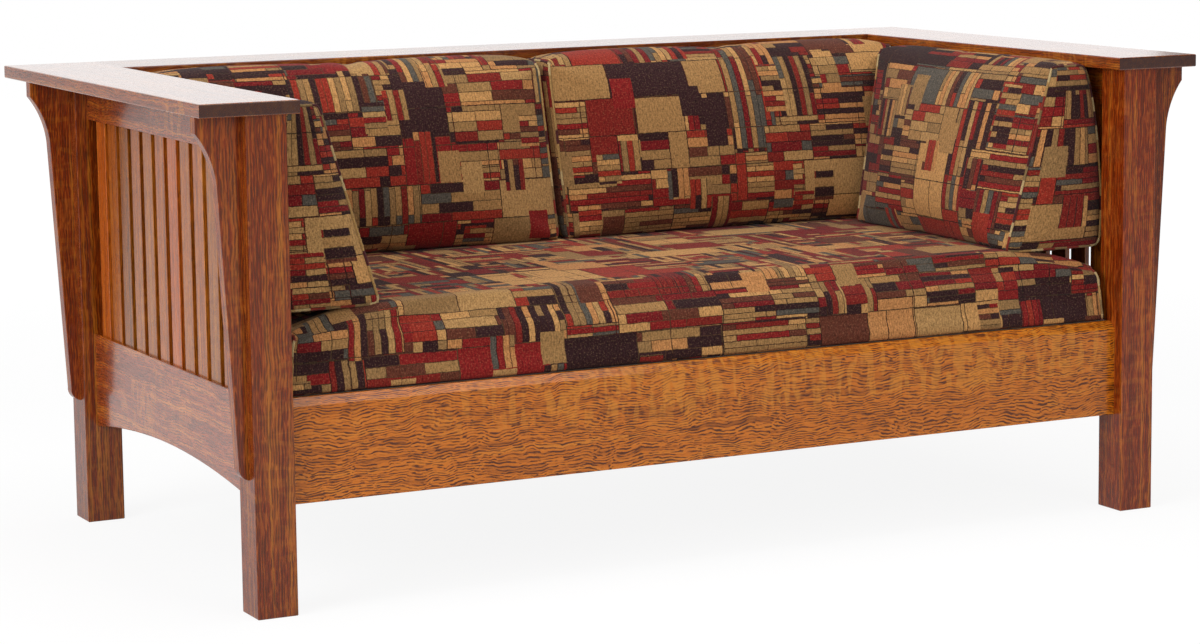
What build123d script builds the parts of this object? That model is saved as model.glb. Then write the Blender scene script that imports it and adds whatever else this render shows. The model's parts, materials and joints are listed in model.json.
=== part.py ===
from build123d import *

import os
from math import cos, radians, sin, sqrt, tan

os.makedirs("parts", exist_ok=True)

# A mission settle in oak: four posts, rails and slats, flat caps on corbels, a sprung seat
# and five loose cushions. Millimetres. The origin is on the floor under the middle of the
# caps, +X runs to the right of someone facing the settle, and the front faces -Y.

# Size over the caps
settle_width = 1752.0
settle_depth = 944.0
settle_height = 762.0

# Caps along the arms and the back
cap_thickness = 20.5
arm_cap_width = 154.5
back_cap_width = 158.0
front_overhang = 9.5
side_overhang = 73.5
back_overhang = 83.5
cap_edge_radius = 2.0

# Posts
post_size = 63.5
post_edge_radius = 1.5
foot_chamfer = 1.2

# Rails between the posts
board_thickness = 20.5
board_edge_radius = 1.0
upper_rail_height = 64.5
lower_rail_height = 157.0
lower_rail_bottom = 162.0
front_rail_bevel = 12.0
arch_rise = 28.0

# Mortise and tenon joints
tenon_thickness = 10.0
tenon_shoulder = 12.0
tenon_wall = 3.0
joint_clearance = 0.15
end_gap = 1.0

# Slats, let into the rails at both ends
slat_width = 41.0
slat_thickness = 9.5
slat_pitch = 57.5
slat_bite = 12.0
slat_edge_radius = 1.0

# Corbels on the outer and the back faces of the posts
corbel_thickness = 20.5
corbel_projection = 69.0
corbel_lip = 24.5
corbel_neck = 38.0
corbel_neck_drop = 101.5
corbel_hollow = 6.5
corbel_tip = 15.5
corbel_tip_height = 21.0
corbel_length = 536.5
corbel_edge_radius = 1.0

# Dowels between the caps and what carries them, and at the seat brace
dowel_diameter = 8.0
dowel_length = 32.0
dowel_cap_bite = 12.0
dowel_post_offset = 16.0
dowel_chamfer = 0.8
side_dowel_inset = 162.0
back_dowel_inset = 259.0
cap_dowel_inset = 34.0
brace_dowel_inset = 10.5

# Hardwood strips inside the rails that carry the springs and the deck pad
strip_width = 45.0
strip_height = 55.0
strip_ledge = 20.0
strip_end_gap = 1.5

# Screws through the strips into the rails
screw_length = 57.0
screw_diameter = 4.5
screw_head_diameter = 9.0
screw_head_height = 3.2
screw_rim = 0.5
screw_point = 6.0
screw_sink = 0.4
strip_screw_inset = 117.5
strip_screw_count = 6
cleat_screw_inset = 57.0
cleat_screw_count = 4

# Flat zigzag springs, front to back, held by clips
wire_diameter = 3.6
spring_width = 52.0
spring_turn_pitch = 34.0
spring_pitch = 160.0
spring_drop = 6.0
spring_end_inset = 12.0
spring_side_gap = 6.0
clip_width = 14.0
clip_depth = 14.0
clip_wall = 1.0
wire_clearance = 0.1

# Brace under the springs
brace_width = 45.0
brace_height = 28.0
brace_drop = 18.0

# Deck pad over the springs
pad_thickness = 8.0
pad_gap = 1.0

# Cushions
soft_clearance = 0.3
corner_share = 0.29

# Seat cushion
seat_cushion_side_gap = 9.0
seat_cushion_setback = 14.0
seat_cushion_rear_gap = 13.0
seat_side_height = 66.0
seat_corner_height = 38.0
seat_corner_depth = 44.0
seat_crown = 18.5
seat_face_bulge = 7.0
seat_draw = 16.0

# Back cushions, which lean on the front edge of the back cap
back_cushion_gap = 5.0
back_cushion_side_gap = 4.0
back_cushion_thickness = 109.0
back_cushion_drop = 14.5
back_cushion_crown = 33.0
back_cushion_top_crown = 9.0
back_cushion_corner = 26.0
back_cushion_rear_corner = 12.0
back_cushion_draw = 10.0
back_cushion_lean = 13.5
back_cushion_seat_share = 0.949

# Side cushions, wedges that lean on the inner edges of the arm caps
side_cushion_front_gap = 17.0
side_cushion_back_gap = 31.0
side_cushion_foot_gap = 9.0
side_cushion_foot = 196.0
side_cushion_head = 68.0
side_cushion_drop = 12.0
side_cushion_crown = 30.0
side_cushion_top_crown = 3.0
side_cushion_corner = 16.0
side_cushion_head_corner = 20.0
side_cushion_draw = 8.0
side_cushion_seat_share = 0.9515

# Places that follow from the sizes
sides = {"left": -1, "right": 1}
post_height = settle_height - cap_thickness
post_x = settle_width / 2 - side_overhang - post_size / 2
front_post_y = -settle_depth / 2 + front_overhang + post_size / 2
rear_post_y = settle_depth / 2 - back_overhang - post_size / 2
side_middle = (front_post_y + rear_post_y) / 2
side_span = rear_post_y - front_post_y - post_size
cross_span = 2 * post_x - post_size
lower_rail_top = lower_rail_bottom + lower_rail_height
upper_rail_bottom = post_height - upper_rail_height
tenon_length = post_size / 2 - tenon_thickness / 2 - tenon_wall
cap_joint_x = settle_width / 2 - arm_cap_width
back_cap_front = settle_depth / 2 - back_cap_width
rail_face_x = post_x - board_thickness / 2
front_rail_back = front_post_y + board_thickness / 2
back_rail_front = rear_post_y - board_thickness / 2
pad_bottom = lower_rail_top - pad_thickness
spring_seat = pad_bottom - spring_drop
strip_face_front = front_rail_back + strip_width
strip_face_rear = back_rail_front - strip_width
strip_length = cross_span - 2 * strip_end_gap
cleat_length = strip_face_rear - strip_face_front - 2 * strip_end_gap
brace_top = spring_seat - brace_drop


def side_plane(side):
    """The upright plane along the middle of one side, with its origin under the rail's middle."""
    return Plane(origin=(side * post_x, side_middle, 0), x_dir=(0, 1, 0), z_dir=(1, 0, 0))


def cross_plane(y):
    """The upright plane across the settle at one depth."""
    return Plane(origin=(0, y, 0), x_dir=(1, 0, 0), z_dir=(0, -1, 0))


def spaced(spread, count):
    """Places evenly spaced over a spread, about zero."""
    step = spread / (count - 1)
    return [index * step - spread / 2 for index in range(count)]


def slat_places(span):
    """As many slats as fit between two posts at the slat pitch, centred."""
    count = int((span - slat_width) / slat_pitch) + 1
    return spaced(slat_pitch * (count - 1), count)


def finish(part, label):
    """Name a finished piece and write it."""
    part.label = label
    export_step(part, f"parts/{label}.step")


# Dowels, each placed at its middle
dowel_z = post_height + dowel_cap_bite - dowel_length / 2
cap_middle_z = post_height + cap_thickness / 2


def post_dowels(side, y):
    """Two upright dowels on a diagonal of a post's top, clear of its mortises."""
    offsets = (-dowel_post_offset, dowel_post_offset)
    return [Location((side * (post_x + offset), y + offset, dowel_z)) for offset in offsets]


def side_rail_dowels(side):
    """Upright dowels from an upper side rail into the arm cap."""
    places = spaced(side_span - 2 * side_dowel_inset, 2)
    return [Location((side * post_x, side_middle + y, dowel_z)) for y in places]


def back_rail_dowels():
    """Upright dowels from the upper back rail into the back cap."""
    return [Location((x, rear_post_y, dowel_z)) for x in spaced(cross_span - 2 * back_dowel_inset, 3)]


def cap_joint_dowels(side):
    """Level dowels across the joint of the back cap and an arm cap."""
    middle = back_cap_front + back_cap_width / 2
    places = spaced(back_cap_width - 2 * cap_dowel_inset, 2)
    return [Location((side * cap_joint_x, middle + y, cap_middle_z), (0, 90, 0)) for y in places]


def brace_dowels(y):
    """Level dowels from a spring strip into one end of the brace."""
    middle = brace_top - brace_height / 2
    return [Location((x, y, middle), (90, 0, 0)) for x in spaced(brace_width - 2 * brace_dowel_inset, 2)]


def dowel_holes(places):
    """Cut the open part's blind holes for these dowels."""
    with Locations(*places):
        radius = dowel_diameter / 2 + joint_clearance
        Cylinder(radius, dowel_length + 2 * end_gap, mode=Mode.SUBTRACT)


# Screws, each placed at its head, with the shank running down its own -Z
def screw_places(plane, places):
    """Screw heads along the middle of a strip's inner face."""
    level = pad_bottom - strip_height / 2 - spring_drop / 2
    return [Location(plane) * Location((place, level, -screw_sink)) for place in places]


def strip_screw_plane(y, toward):
    """The inner face of a strip that runs across, facing the middle of the seat."""
    return Plane(origin=(0, y, 0), x_dir=(-toward, 0, 0), z_dir=(0, toward, 0))


def cleat_screw_plane(side):
    """The inner face of a side strip, facing the middle of the seat."""
    return Plane(origin=(side * (rail_face_x - strip_width), side_middle, 0),
                 x_dir=(0, -side, 0), z_dir=(-side, 0, 0))


strip_screw_spots = spaced(strip_length - 2 * strip_screw_inset, strip_screw_count)
cleat_screw_spots = spaced(cleat_length - 2 * cleat_screw_inset, cleat_screw_count)
front_screws = screw_places(strip_screw_plane(strip_face_front, 1), strip_screw_spots)
rear_screws = screw_places(strip_screw_plane(strip_face_rear, -1), strip_screw_spots)
side_screws = {name: screw_places(cleat_screw_plane(side), cleat_screw_spots)
               for name, side in sides.items()}


def screw_blank(clearance=0, rise=0):
    """A countersunk wood screw, or its hole when it is given a clearance and a rise over the head."""
    head = screw_head_diameter / 2 + clearance
    shank = screw_diameter / 2 + clearance
    end = -screw_length - clearance
    with BuildPart() as blank:
        with BuildSketch(Plane.XZ):
            with BuildLine():
                Polyline((0, rise), (head, rise), (head, -screw_rim), (shank, -screw_head_height),
                         (shank, end + screw_point), (0, end), close=True)
            make_face()
        revolve(axis=Axis.Z)
    return blank.part


screw = screw_blank()
screw_hole = screw_blank(joint_clearance, 2 * screw_sink)


def screw_holes(places):
    """Cut the open part's holes for these screws, open to the face over their heads."""
    add([screw_hole.moved(place) for place in places], mode=Mode.SUBTRACT)


# Posts
def mortise(plane, face, inward, low, high):
    """Cut the open part's mortise for one rail, from a face of the post into it."""
    depth = tenon_length + end_gap
    with BuildSketch(plane) as mouth:
        with Locations((face + inward * depth / 2, (low + high) / 2)):
            Rectangle(depth, high - low - 2 * (tenon_shoulder - joint_clearance))
    extrude(mouth.sketch, tenon_thickness / 2 + joint_clearance, both=True, mode=Mode.SUBTRACT)


def post(side, y, cross_rails):
    """A post, with mortises for the side rails and for the given rails across."""
    toward_middle = 1 if y < side_middle else -1
    side_face = y + toward_middle * post_size / 2 - side_middle
    cross_face = side * (post_x - post_size / 2)
    with BuildPart() as column:
        with BuildSketch():
            with Locations((side * post_x, y)):
                Rectangle(post_size, post_size)
        extrude(amount=post_height)
        fillet(column.edges().filter_by(Axis.Z), post_edge_radius)
        chamfer(column.edges().group_by(Axis.Z)[0], foot_chamfer)
        for low, high in side_rail_levels:
            mortise(side_plane(side), side_face, -toward_middle, low, high)
        for low, high in cross_rails:
            mortise(cross_plane(y), cross_face, side, low, high)
        dowel_holes(post_dowels(side, y))
    return column.part


lower_level = (lower_rail_bottom, lower_rail_top)
upper_level = (upper_rail_bottom, post_height)
side_rail_levels = (lower_level, upper_level)
for name, side in sides.items():
    finish(post(side, front_post_y, (lower_level,)), f"front_{name}_post")
    finish(post(side, rear_post_y, (lower_level, upper_level)), f"rear_{name}_post")


# Rails
def board_outline(plane, span, low, high, rise):
    """A rail between its shoulders, arched below when it has a rise."""
    half = span / 2
    with BuildSketch(plane) as outline:
        with BuildLine():
            Polyline((-half, low), (-half, high), (half, high), (half, low))
            if rise:
                ThreePointArc((half, low), (0, low + rise), (-half, low))
            else:
                Line((half, low), (-half, low))
        make_face()
    return outline.sketch


def slat_slots(plane, places, edge):
    """Cut the open part's blind slots for slats, into one edge of a rail."""
    with BuildSketch(plane) as mouths:
        with Locations(*[(place, edge) for place in places]):
            Rectangle(slat_width + 2 * joint_clearance, 2 * (slat_bite + end_gap))
    extrude(mouths.sketch, slat_thickness / 2 + joint_clearance, both=True, mode=Mode.SUBTRACT)


def rail(plane, span, level, slot_edge=None, rise=0, bevel=0, dowels=(), screws=()):
    """A board between two posts, with its tenons, slots, and holes."""
    low, high = level
    with BuildPart() as board:
        extrude(board_outline(plane, span, low, high, rise), board_thickness / 2, both=True)
        if bevel:
            chamfer(board.edges().filter_by(Axis.X).group_by(Axis.Z)[-1].sort_by(Axis.Y)[0], bevel)
        if rise:
            chamfer(board.edges().filter_by(GeomType.CIRCLE), board_edge_radius)
        fillet(board.edges().filter_by(Axis(plane.origin, plane.x_dir)), board_edge_radius)
        with BuildSketch(plane):
            with Locations(*[(x, (low + high) / 2) for x in spaced(span + tenon_length, 2)]):
                Rectangle(tenon_length, high - low - 2 * tenon_shoulder)
        extrude(amount=tenon_thickness / 2, both=True)
        if slot_edge:
            slat_slots(plane, slat_places(span), slot_edge)
        if dowels:
            dowel_holes(dowels)
        if screws:
            screw_holes(screws)
    return board.part


for name, side in sides.items():
    plane = side_plane(side)
    finish(rail(plane, side_span, upper_level, upper_rail_bottom, dowels=side_rail_dowels(side)),
           f"{name}_upper_rail")
    finish(rail(plane, side_span, lower_level, lower_rail_top, arch_rise, screws=side_screws[name]),
           f"{name}_lower_rail")
finish(rail(cross_plane(front_post_y), cross_span, lower_level, bevel=front_rail_bevel,
            screws=front_screws), "front_rail")
finish(rail(cross_plane(rear_post_y), cross_span, lower_level, lower_rail_top, screws=rear_screws),
       "back_lower_rail")
finish(rail(cross_plane(rear_post_y), cross_span, upper_level, upper_rail_bottom,
            dowels=back_rail_dowels()), "back_upper_rail")


# Slats
def slats(plane, places):
    """Upright slats with their ends in the rails' slots."""
    low = lower_rail_top - slat_bite
    high = upper_rail_bottom + slat_bite
    with BuildPart() as boards:
        with BuildSketch(plane):
            with Locations(*[(place, (low + high) / 2) for place in places]):
                Rectangle(slat_width, high - low)
        extrude(amount=slat_thickness / 2, both=True)
        fillet(boards.edges().filter_by(Axis.Z), slat_edge_radius)
    return boards.part


for name, side in sides.items():
    for number, place in enumerate(slat_places(side_span), 1):
        finish(slats(side_plane(side), [place]), f"{name}_slat_{number:02d}")
finish(slats(cross_plane(rear_post_y), slat_places(cross_span)), "back_slats")


# Corbels
def corbel(plane):
    """A corbel whose flat back lies on the plane's vertical axis, swelling along its x."""
    top = post_height
    neck = top - corbel_neck_drop
    tip = top - corbel_length
    hollow_x = (corbel_projection + corbel_neck) / 2 - corbel_hollow
    hollow_z = (top - corbel_lip + neck) / 2
    with BuildPart() as bracket:
        with BuildSketch(plane):
            with BuildLine():
                Polyline((0, tip), (0, top), (corbel_projection, top),
                         (corbel_projection, top - corbel_lip))
                ThreePointArc((corbel_projection, top - corbel_lip), (hollow_x, hollow_z),
                              (corbel_neck, neck))
                Line((corbel_neck, neck), (corbel_tip, tip + corbel_tip_height))
                ThreePointArc((corbel_tip, tip + corbel_tip_height),
                              (corbel_tip * (1 - corner_share), tip + corner_share * corbel_tip_height),
                              (0, tip))
            make_face()
        extrude(amount=corbel_thickness / 2, both=True)
        rim = [edge for edge in bracket.faces().filter_by(Axis(plane.origin, plane.z_dir)).edges()
               if plane.to_local_coords(edge.center()).X > corbel_tip * corner_share
               and plane.to_local_coords(edge.center()).Y < top - corbel_edge_radius]
        fillet(rim, corbel_edge_radius)
    return bracket.part


for name, side in sides.items():
    outward = (side, 0, 0)
    for row, y in (("front", front_post_y), ("rear", rear_post_y)):
        face = Plane(origin=(side * (post_x + post_size / 2), y, 0), x_dir=outward, z_dir=(0, -side, 0))
        finish(corbel(face), f"{row}_{name}_corbel")
    face = Plane(origin=(side * post_x, rear_post_y + post_size / 2, 0), x_dir=(0, 1, 0), z_dir=(1, 0, 0))
    finish(corbel(face), f"back_{name}_corbel")


# Caps, cut from one eased outline so that their edges run on across the joints
def cap_outline():
    """Both arm caps and the back cap as one piece."""
    with BuildPart() as blank:
        with BuildSketch(Plane.XY.offset(post_height)):
            Rectangle(settle_width, settle_depth)
            with Locations((0, -back_cap_width / 2)):
                Rectangle(2 * cap_joint_x, settle_depth - back_cap_width, mode=Mode.SUBTRACT)
        extrude(amount=cap_thickness)
        level_edges = blank.edges().group_by(Axis.Z)
        fillet(level_edges[0] + level_edges[-1], cap_edge_radius)
    return blank.part


def cap(blank, low_x, high_x, dowels):
    """The part of the caps between two places along X, with its dowel holes."""
    with BuildPart() as board:
        add(blank)
        split(bisect_by=Plane.YZ.offset(low_x), keep=Keep.TOP)
        split(bisect_by=Plane.YZ.offset(high_x), keep=Keep.BOTTOM)
        dowel_holes(dowels)
    return board.part


blank = cap_outline()
joint_dowels = cap_joint_dowels(-1) + cap_joint_dowels(1)
finish(cap(blank, -cap_joint_x, cap_joint_x, back_rail_dowels() + joint_dowels), "back_cap")
arm_dowels = {}
for name, side in sides.items():
    corner_dowels = post_dowels(side, front_post_y) + post_dowels(side, rear_post_y)
    arm_dowels[name] = corner_dowels + side_rail_dowels(side)
    ends = sorted((side * cap_joint_x, side * settle_width))
    finish(cap(blank, ends[0], ends[1], arm_dowels[name] + cap_joint_dowels(side)), f"{name}_arm_cap")


# Strips that carry the springs and the deck pad
def spring_strip(outer_y, toward, screws):
    """A strip across the settle, stepped down inside its ledge to seat the spring clips."""
    step = strip_width - strip_ledge
    with BuildPart() as strip:
        with BuildSketch(Plane.XY.offset(pad_bottom - strip_height)):
            with Locations((0, outer_y + toward * strip_width / 2)):
                Rectangle(strip_length, strip_width)
        extrude(amount=strip_height)
        with BuildSketch(Plane.XY.offset(spring_seat)):
            with Locations((0, outer_y + toward * (strip_ledge + step / 2))):
                Rectangle(strip_length, step)
        extrude(amount=spring_drop, mode=Mode.SUBTRACT)
        dowel_holes(brace_dowels(outer_y + toward * strip_width))
        screw_holes(screws)
    return strip.part


def side_cleat(side, screws):
    """A strip along one side that carries the end of the deck pad."""
    with BuildPart() as cleat:
        with BuildSketch(Plane.XY.offset(pad_bottom - strip_height)):
            with Locations((side * (rail_face_x - strip_width / 2), side_middle)):
                Rectangle(strip_width, cleat_length)
        extrude(amount=strip_height)
        screw_holes(screws)
    return cleat.part


finish(spring_strip(front_rail_back, 1, front_screws), "front_spring_strip")
finish(spring_strip(back_rail_front, -1, rear_screws), "rear_spring_strip")
for name, side in sides.items():
    finish(side_cleat(side, side_screws[name]), f"{name}_seat_cleat")

# Brace between the spring strips
brace_ends = brace_dowels(strip_face_front) + brace_dowels(strip_face_rear)
with BuildPart() as seat_brace:
    with BuildSketch(Plane.XY.offset(brace_top - brace_height)):
        with Locations((0, (strip_face_front + strip_face_rear) / 2)):
            Rectangle(brace_width, strip_face_rear - strip_face_front)
    extrude(amount=brace_height)
    dowel_holes(brace_ends)
finish(seat_brace.part, "seat_brace")

# Fasteners
dowel_places = joint_dowels + back_rail_dowels() + brace_ends + arm_dowels["left"] + arm_dowels["right"]
with BuildPart() as dowels:
    with Locations(*dowel_places):
        Cylinder(dowel_diameter / 2, dowel_length)
    chamfer(dowels.edges().filter_by(GeomType.CIRCLE), dowel_chamfer)
finish(dowels.part, "dowels")

with BuildPart() as screws:
    add([screw.moved(place) for place in front_screws + rear_screws + side_screws["left"]
         + side_screws["right"]])
finish(screws.part, "screws")

# Springs, each one wire in flat zigzag turns
wire_z = spring_seat + wire_clearance + wire_diameter / 2
spring_front = front_rail_back + strip_ledge + spring_end_inset
spring_rear = back_rail_front - strip_ledge - spring_end_inset
spring_room = 2 * (rail_face_x - strip_width - spring_side_gap)
spring_count = int((spring_room - spring_width) / spring_pitch) + 1
spring_places = spaced(spring_pitch * (spring_count - 1), spring_count)
turn_count = round((spring_rear - spring_front) / spring_turn_pitch)
turn_radius = (spring_rear - spring_front) / turn_count / 2
leg_half = spring_width / 2 - turn_radius


def spring_path():
    """Straight legs across, joined by half turns, from the front clip to the rear one."""
    for turn in range(turn_count + 1):
        y = spring_front + 2 * turn_radius * turn
        heading = 1 if turn % 2 == 0 else -1
        end = (heading * leg_half, y)
        Line((-heading * leg_half, y), end)
        if turn < turn_count:
            ThreePointArc(end, (heading * (leg_half + turn_radius), y + turn_radius),
                          (heading * leg_half, y + 2 * turn_radius))


with BuildPart() as spring:
    with BuildLine(Plane.XY.offset(wire_z)) as path:
        spring_path()
    with BuildSketch(path.line ^ 0):
        Circle(wire_diameter / 2)
    sweep()
with BuildPart() as seat_springs:
    add([spring.part.moved(Location((x, 0, 0))) for x in spring_places])
finish(seat_springs.part, "seat_springs")

channel = wire_diameter + 2 * wire_clearance
clip_places = [(x, y) for x in spring_places for y in (spring_front, spring_rear)]
with BuildPart() as spring_clips:
    with BuildSketch(Plane.XY.offset(spring_seat)):
        with Locations(*clip_places):
            Rectangle(clip_width, clip_depth)
    extrude(amount=channel + clip_wall)
    with BuildSketch(Plane.XY.offset(spring_seat)):
        with Locations(*clip_places):
            Rectangle(clip_width, channel)
    extrude(amount=channel, mode=Mode.SUBTRACT)
finish(spring_clips.part, "spring_clips")

# Deck pad, level with the rails
with BuildPart() as deck_pad:
    with BuildSketch(Plane.XY.offset(pad_bottom)):
        with Locations((0, (front_rail_back + back_rail_front) / 2)):
            Rectangle(cross_span - 2 * pad_gap, back_rail_front - front_rail_back - 2 * pad_gap)
    extrude(amount=pad_thickness)
finish(deck_pad.part, "deck_pad")


# Cushions, lofted through outlines of lines and arcs
def soft_corner(start, corner, end):
    """A rounded corner of a cushion's outline, from one point to another near a sharp corner."""
    middle = [place + corner_share * (first - place) + corner_share * (last - place)
              for first, place, last in zip(start, corner, end)]
    ThreePointArc(start, tuple(middle), end)


def crowned(start, end, crown):
    """A swelling edge of a cushion's outline, off the left of its direction when the crown is positive."""
    run = (end[0] - start[0], end[1] - start[1])
    length = sqrt(run[0] ** 2 + run[1] ** 2)
    middle = ((start[0] + end[0]) / 2 - crown * run[1] / length,
              (start[1] + end[1]) / 2 + crown * run[0] / length)
    ThreePointArc(start, middle, end)


# Seat cushion: share of the half width, share of the full height, share of the draw
seat_bottom = lower_rail_top + soft_clearance
seat_height = seat_side_height + seat_corner_height + seat_crown
seat_front = front_rail_back - board_thickness + seat_cushion_setback
seat_rear = rear_post_y - slat_thickness / 2 - seat_cushion_rear_gap
seat_half_width = cross_span / 2 - seat_cushion_side_gap
seat_station_shares = ((1.0, 0.74, 1.0), (0.985, 0.83, 0.45), (0.96, 0.89, 0.15), (0.9, 0.93, 0.04),
                       (0.76, 0.955, 0.0), (0.55, 0.975, 0.0), (0.3, 0.993, 0.0), (0.0, 1.0, 0.0))


def mirrored(stations):
    """Stations for both halves of a loft, given those from one end to the middle."""
    return [(-share, *rest) for share, *rest in stations] + list(reversed(stations[:-1]))


def seat_outline(plane, height_share, draw_share):
    """The seat cushion's outline across one place along its length."""
    front = seat_front + draw_share * seat_draw
    rear = seat_rear - draw_share * seat_draw
    shoulder = seat_bottom + height_share * seat_side_height
    top = shoulder + height_share * seat_corner_height
    crown = height_share * seat_crown
    with BuildSketch(plane) as outline:
        with BuildLine():
            Line((rear, seat_bottom), (front, seat_bottom))
            crowned((front, seat_bottom), (front, shoulder), seat_face_bulge)
            soft_corner((front, shoulder), (front, top), (front + seat_corner_depth, top))
            crowned((front + seat_corner_depth, top), (rear - seat_corner_depth, top), crown)
            soft_corner((rear - seat_corner_depth, top), (rear, top), (rear, shoulder))
            crowned((rear, shoulder), (rear, seat_bottom), seat_face_bulge)
        make_face()
    return outline.sketch


with BuildPart() as seat_cushion:
    loft([seat_outline(Plane.YZ.offset(width_share * seat_half_width), height_share, draw_share)
          for width_share, height_share, draw_share in mirrored(seat_station_shares)], ruled=True)
finish(seat_cushion.part, "seat_cushion")

# Back cushions: share of the half width, share of the crown, share of the draw
back_station_shares = ((1.0, 0.2, 1.0), (0.98, 0.36, 0.45), (0.93, 0.52, 0.1), (0.8, 0.7, 0.0),
                       (0.55, 0.86, 0.0), (0.3, 0.96, 0.0), (0.0, 1.0, 0.0))
back_slope = tan(radians(back_cushion_lean))
back_bottom = seat_bottom + back_cushion_seat_share * seat_height + soft_clearance
back_rear_y = back_cap_front - soft_clearance - (settle_height - back_bottom) * back_slope
back_rise = settle_height - back_cushion_drop - back_bottom


def leaning(forward, up):
    """A place in a back cushion's outline, forward of its leaning rear face and up from its foot."""
    return (back_rear_y + up * back_slope - forward, back_bottom + up)


def back_outline(plane, crown_share, draw_share):
    """A back cushion's outline across one place along its length."""
    draw = draw_share * back_cushion_draw
    front = back_cushion_thickness - draw
    rise = back_rise - draw
    crown = crown_share * back_cushion_crown
    corner = back_cushion_corner
    rear_corner = back_cushion_rear_corner
    with BuildSketch(plane) as outline:
        with BuildLine():
            Line(leaning(0, 0), leaning(front - corner, 0))
            soft_corner(leaning(front - corner, 0), leaning(front, 0), leaning(front, corner))
            crowned(leaning(front, corner), leaning(front, rise - corner), crown)
            soft_corner(leaning(front, rise - corner), leaning(front, rise), leaning(front - corner, rise))
            crowned(leaning(front - corner, rise), leaning(rear_corner, rise), back_cushion_top_crown)
            soft_corner(leaning(rear_corner, rise), leaning(0, rise), leaning(0, rise - rear_corner))
            Line(leaning(0, rise - rear_corner), leaning(0, 0))
        make_face()
    return outline.sketch


back_half_width = (cap_joint_x - back_cushion_side_gap - back_cushion_gap / 2) / 2
back_middle_x = back_cushion_gap / 2 + back_half_width
with BuildPart() as right_back_cushion:
    loft([back_outline(Plane.YZ.offset(back_middle_x + width_share * back_half_width),
                       crown_share, draw_share)
          for width_share, crown_share, draw_share in mirrored(back_station_shares)], ruled=True)
finish(right_back_cushion.part, "right_back_cushion")
finish(right_back_cushion.part.mirror(Plane.YZ), "left_back_cushion")

# Side cushions: share of the length from the front, share of the crown, share of the draw
side_station_shares = ((0.0, 0.35, 1.0), (0.02, 0.5, 0.35), (0.07, 0.66, 0.05), (0.2, 0.84, 0.0),
                       (0.4, 0.97, 0.0), (0.6, 1.0, 0.0), (0.8, 0.9, 0.0), (0.93, 0.7, 0.05),
                       (0.98, 0.55, 0.35), (1.0, 0.4, 1.0))
side_bottom = seat_bottom + side_cushion_seat_share * seat_height + soft_clearance
side_rise = settle_height - side_cushion_drop - side_bottom
side_front_y = front_post_y + post_size / 2 + side_cushion_front_gap
side_rear_y = back_rear_y - back_cushion_thickness - side_cushion_back_gap


def tipped_plane(share):
    """An upright plane at a side cushion's front end that tips back by degrees to its rear end."""
    tip = radians(share * back_cushion_lean)
    y = side_front_y + share * (side_rear_y - side_front_y)
    plane = Plane(origin=(0, y, side_bottom), x_dir=(1, 0, 0), z_dir=(0, -cos(tip), sin(tip)))
    return plane, side_rise / cos(tip)


def side_outline(length_share, crown_share, draw_share):
    """The right side cushion's outline across one place along its length."""
    draw = draw_share * side_cushion_draw
    foot_out = rail_face_x - side_cushion_foot_gap - draw
    foot_in = rail_face_x - side_cushion_foot_gap - side_cushion_foot + draw
    head_out = cap_joint_x - soft_clearance - draw
    head_in = cap_joint_x - soft_clearance - side_cushion_head + draw
    corner = side_cushion_corner
    head_corner = side_cushion_head_corner
    crown = crown_share * side_cushion_crown
    plane, top = tipped_plane(length_share)
    with BuildSketch(plane) as outline:
        with BuildLine():
            Line((foot_in + corner, 0), (foot_out - corner, 0))
            soft_corner((foot_out - corner, 0), (foot_out, 0), (foot_out, corner))
            Line((foot_out, corner), (head_out, top - head_corner))
            soft_corner((head_out, top - head_corner), (head_out, top), (head_out - head_corner, top))
            crowned((head_out - head_corner, top), (head_in + head_corner, top), -side_cushion_top_crown)
            soft_corner((head_in + head_corner, top), (head_in, top), (head_in, top - head_corner))
            crowned((head_in, top - head_corner), (foot_in, corner), -crown)
            soft_corner((foot_in, corner), (foot_in, 0), (foot_in + corner, 0))
        make_face()
    return outline.sketch


with BuildPart() as right_side_cushion:
    loft([side_outline(*shares) for shares in side_station_shares], ruled=True)
finish(right_side_cushion.part, "right_side_cushion")
finish(right_side_cushion.part.mirror(Plane.YZ), "left_side_cushion")
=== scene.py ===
"""A mission settle: its oak, its sprung seat and its loose cushions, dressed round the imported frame."""

import json
import math

import bpy
import numpy as np
from mathutils import Matrix, Vector
from mathutils.bvhtree import BVHTree


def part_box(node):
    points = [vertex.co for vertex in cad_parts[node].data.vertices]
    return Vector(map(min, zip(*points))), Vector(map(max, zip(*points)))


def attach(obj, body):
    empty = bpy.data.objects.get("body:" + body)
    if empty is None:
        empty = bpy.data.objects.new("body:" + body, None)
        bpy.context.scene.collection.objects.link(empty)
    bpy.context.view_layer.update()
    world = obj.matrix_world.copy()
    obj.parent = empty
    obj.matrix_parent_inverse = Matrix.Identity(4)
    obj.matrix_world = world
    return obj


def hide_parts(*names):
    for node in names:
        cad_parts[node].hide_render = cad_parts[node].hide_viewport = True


bl_info = {
    "name": "Mission settle",
    "version": (1, 0, 0),
    "blender": (4, 5, 0),
    "location": "View3D > Sidebar > Settle",
    "description": "Finishes a slatted oak settle and upholsters its cushions",
    "category": "Object",
}

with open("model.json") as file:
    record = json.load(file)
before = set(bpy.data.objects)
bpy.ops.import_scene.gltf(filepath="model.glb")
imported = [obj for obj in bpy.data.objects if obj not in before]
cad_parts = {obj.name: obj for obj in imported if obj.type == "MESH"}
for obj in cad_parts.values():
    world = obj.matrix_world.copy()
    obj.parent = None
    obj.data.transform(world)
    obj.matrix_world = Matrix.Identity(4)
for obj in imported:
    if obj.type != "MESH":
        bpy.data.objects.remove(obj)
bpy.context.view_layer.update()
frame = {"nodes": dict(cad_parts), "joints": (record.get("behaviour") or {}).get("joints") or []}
SIDES = {"left": -1, "right": 1}
X, Y, Z = range(3)
MM = 0.001
CM = 0.01


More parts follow.
